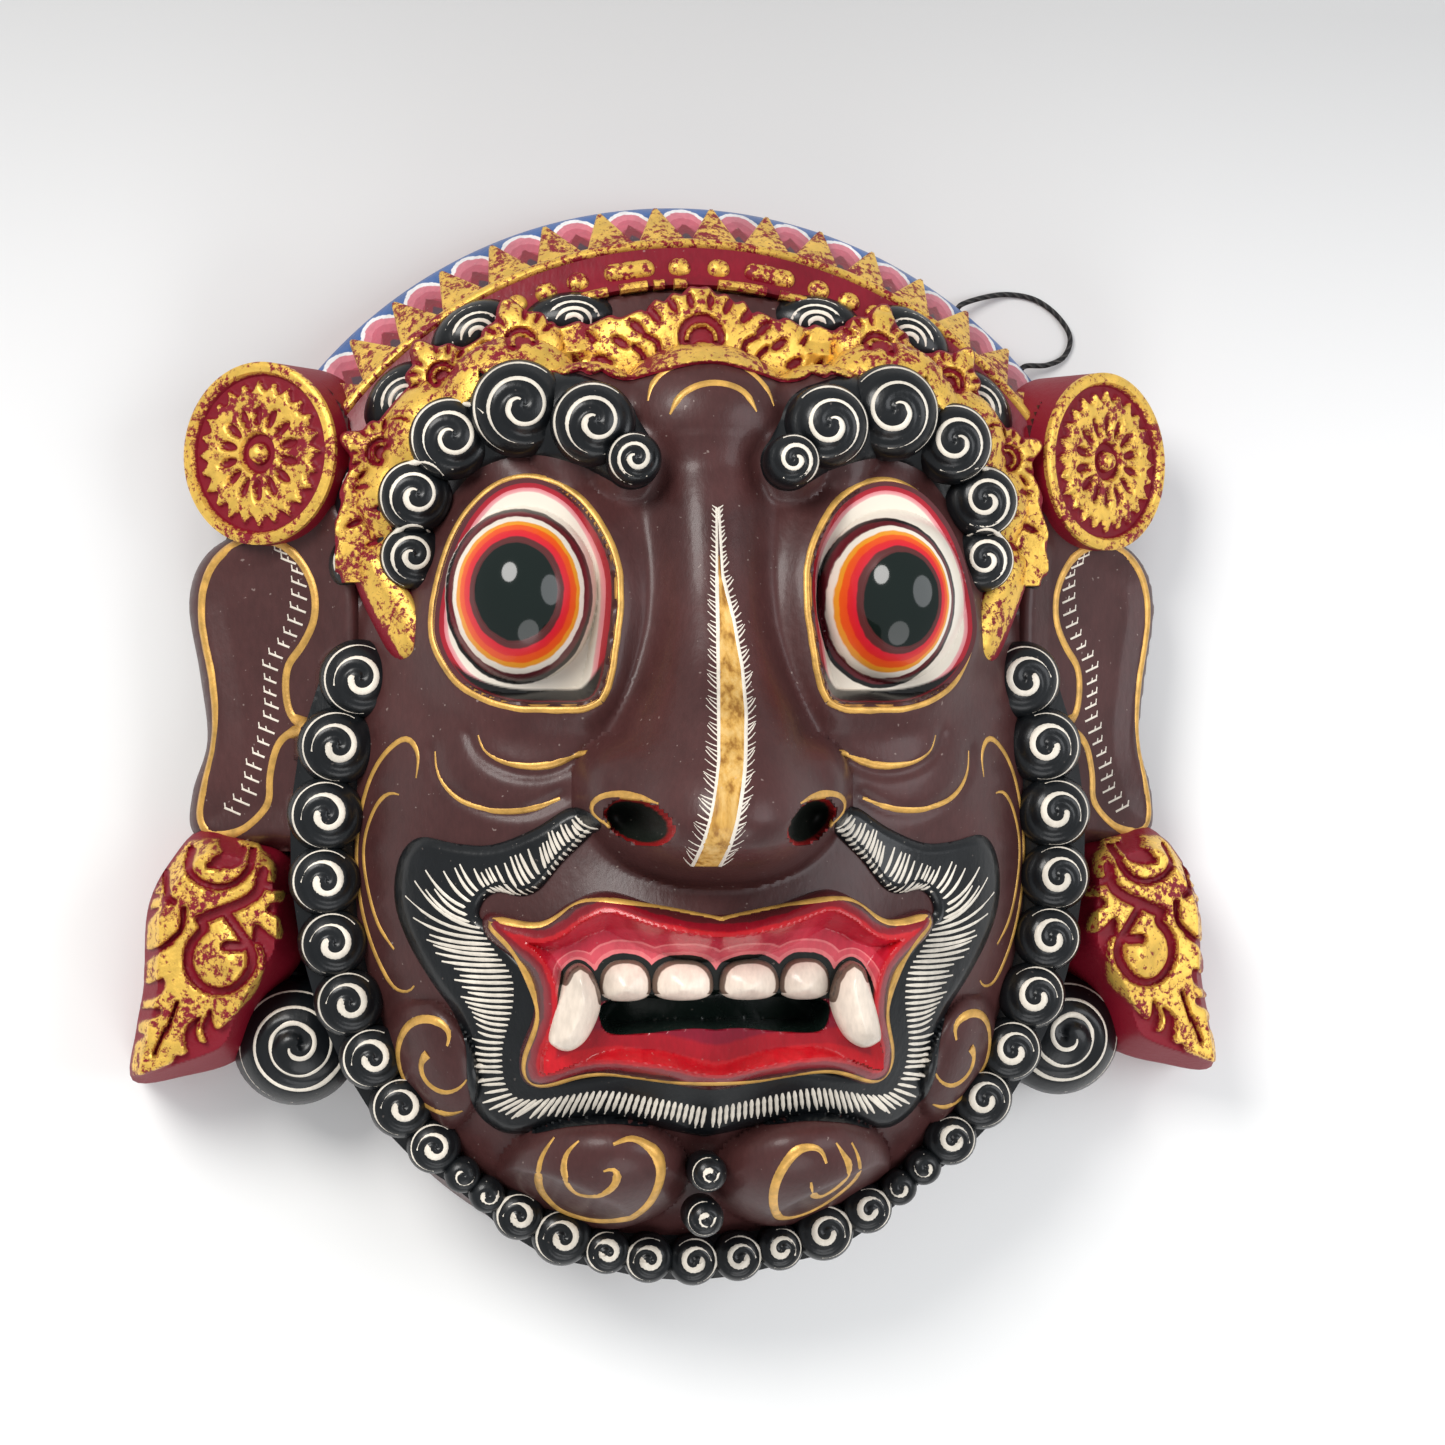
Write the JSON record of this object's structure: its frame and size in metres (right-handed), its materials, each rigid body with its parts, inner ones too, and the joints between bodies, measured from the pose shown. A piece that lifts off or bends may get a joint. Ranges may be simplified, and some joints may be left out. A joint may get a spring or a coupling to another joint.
{
  "type": "ravana mask",
  "caption": "Carved and painted wooden demon mask with bulging eyes, fangs, gilt crown and ear pendants, hollow at the back, with a hanging cord.",
  "frame": {"origin": "middle of the mask's footprint, on the plane of its back rim", "axes": "+Z out of the face, +Y towards the crown, +X to the right as seen from the front"},
  "size_m": [0.302, 0.2967, 0.135],
  "materials": {
    "brown_paint": "satin reddish-brown paint on carved wood",
    "black_paint": "glossy black paint with fine cream brush lines, on carved wood",
    "crimson_paint": "satin crimson paint on carved wood",
    "gold_leaf": "flaked gold leaf over crimson paint, on carved wood",
    "red_paint": "glossy red and pink paint on carved wood",
    "cream_paint": "satin cream paint on carved wood",
    "bare_wood": "unpainted gouged wood of the hollow back",
    "cord": "black twisted cord"
  },
  "bodies": {
    "root": {"mask": "brown_paint", "hanging_cord": "cord"}
  },
  "joints": []
}
